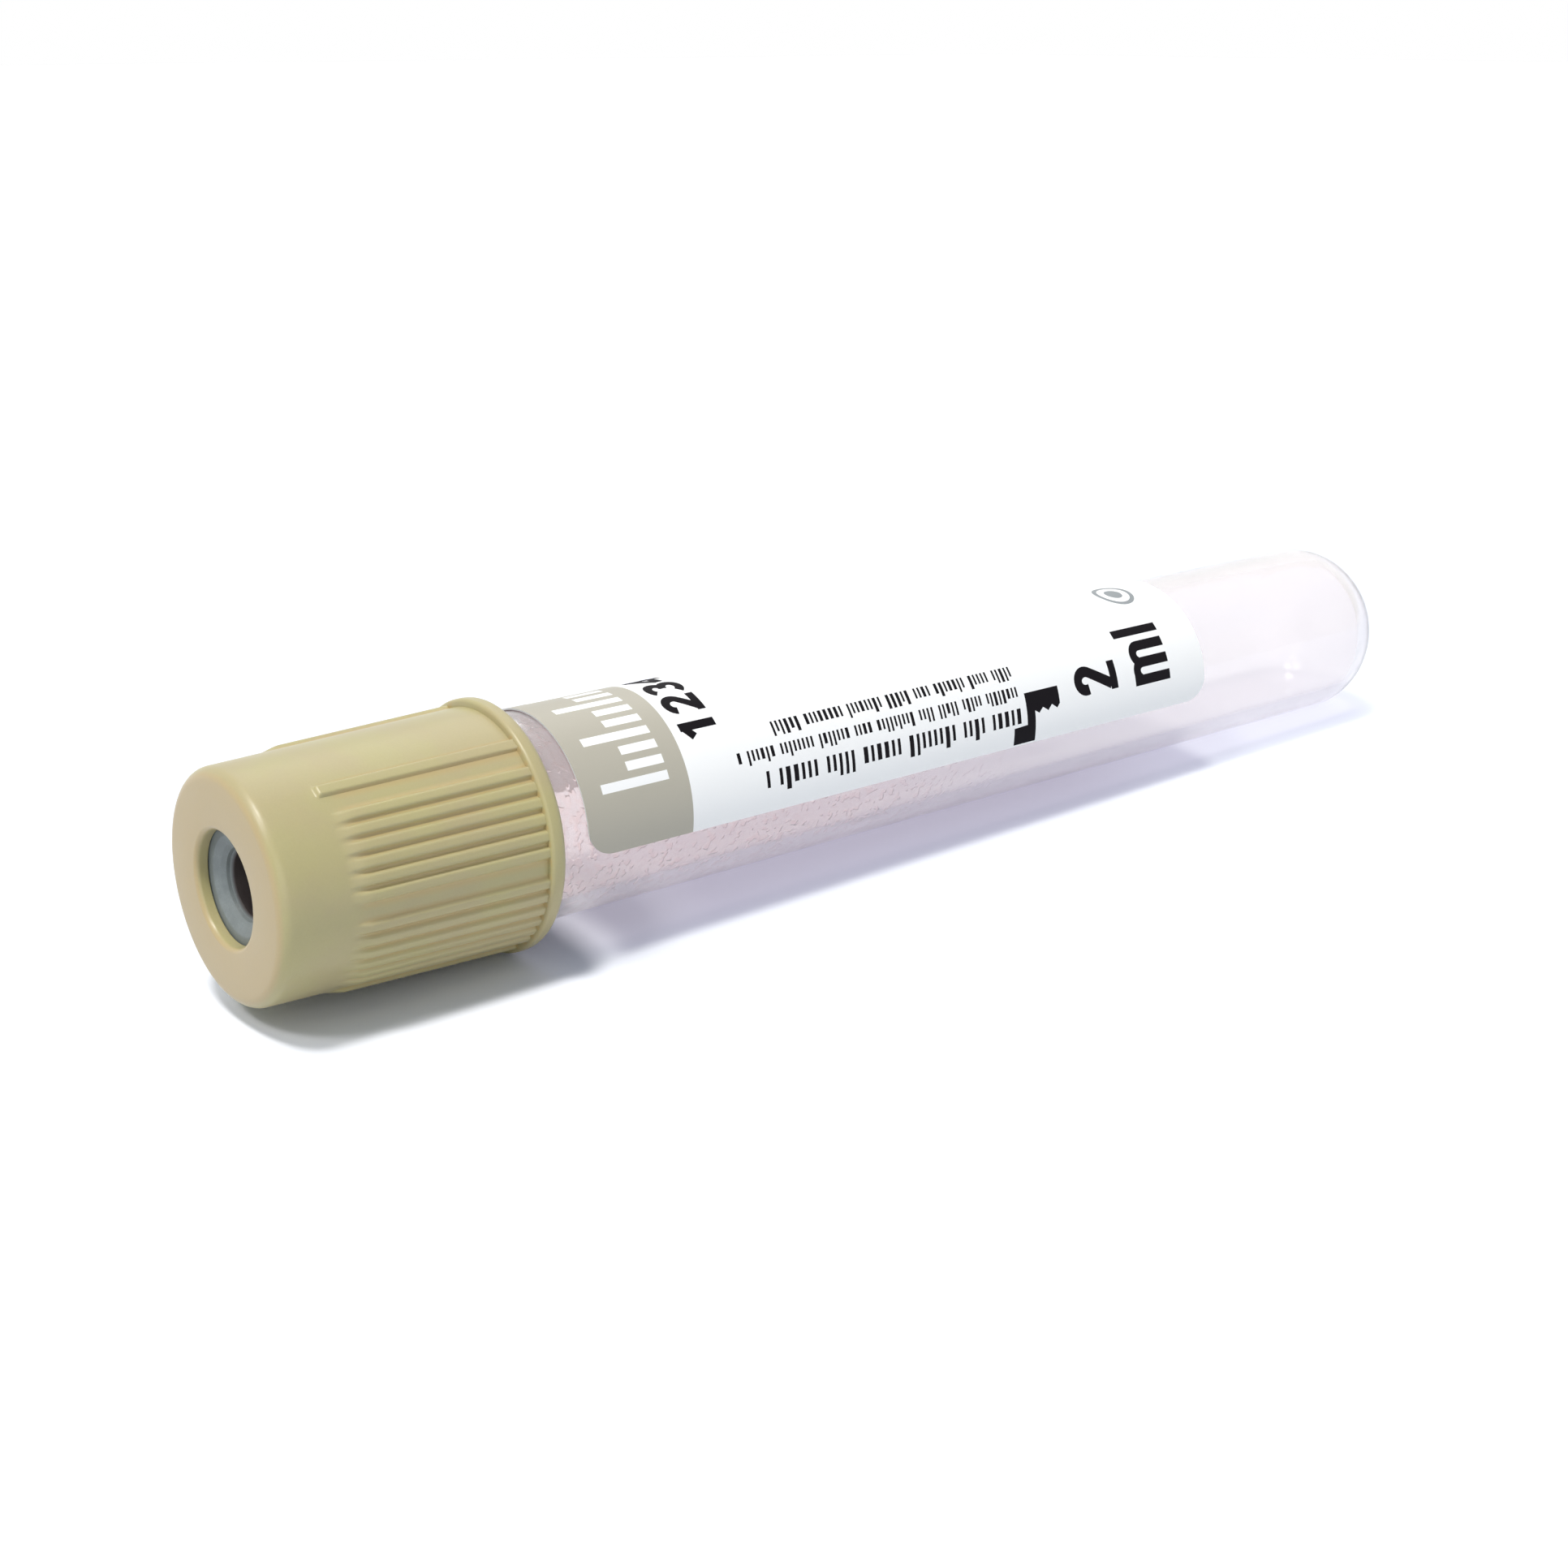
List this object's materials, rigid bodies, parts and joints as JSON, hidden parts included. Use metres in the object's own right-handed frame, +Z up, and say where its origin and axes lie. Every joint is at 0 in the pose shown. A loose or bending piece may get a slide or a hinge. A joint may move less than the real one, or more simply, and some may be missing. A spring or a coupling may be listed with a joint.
{
  "type": "blood collection tube",
  "caption": "Round-bottomed clear plastic sample tube with a printed label, closed by a rubber stopper held in a ribbed safety cap that pulls off along its axis.",
  "frame": {"origin": "on the surface the tube lies on, under the middle of the whole object", "axes": "+X along the tube towards its round bottom, the cap towards -X; +Z up. The tube's axis drops about one degree towards +X"},
  "size_m": [0.1, 0.0156, 0.0156],
  "materials": {
    "clear_plastic": "clear, smooth",
    "label_paper": "satin white film with a grey band and black marks",
    "stopper_rubber": "matt grey",
    "cap_plastic": "moulded, satin, opaque yellow-beige"
  },
  "bodies": {
    "tube_body": {"tube": "clear_plastic", "label": "label_paper"},
    "closure": {"stopper": "stopper_rubber", "cap_shield": "cap_plastic"}
  },
  "joints": [
    {"name": "closure_pull", "type": "slide", "parent": "tube_body", "child": "closure", "axis": [-0.9999, 0, 0.0171], "range_m": [0, 0.04]}
  ]
}
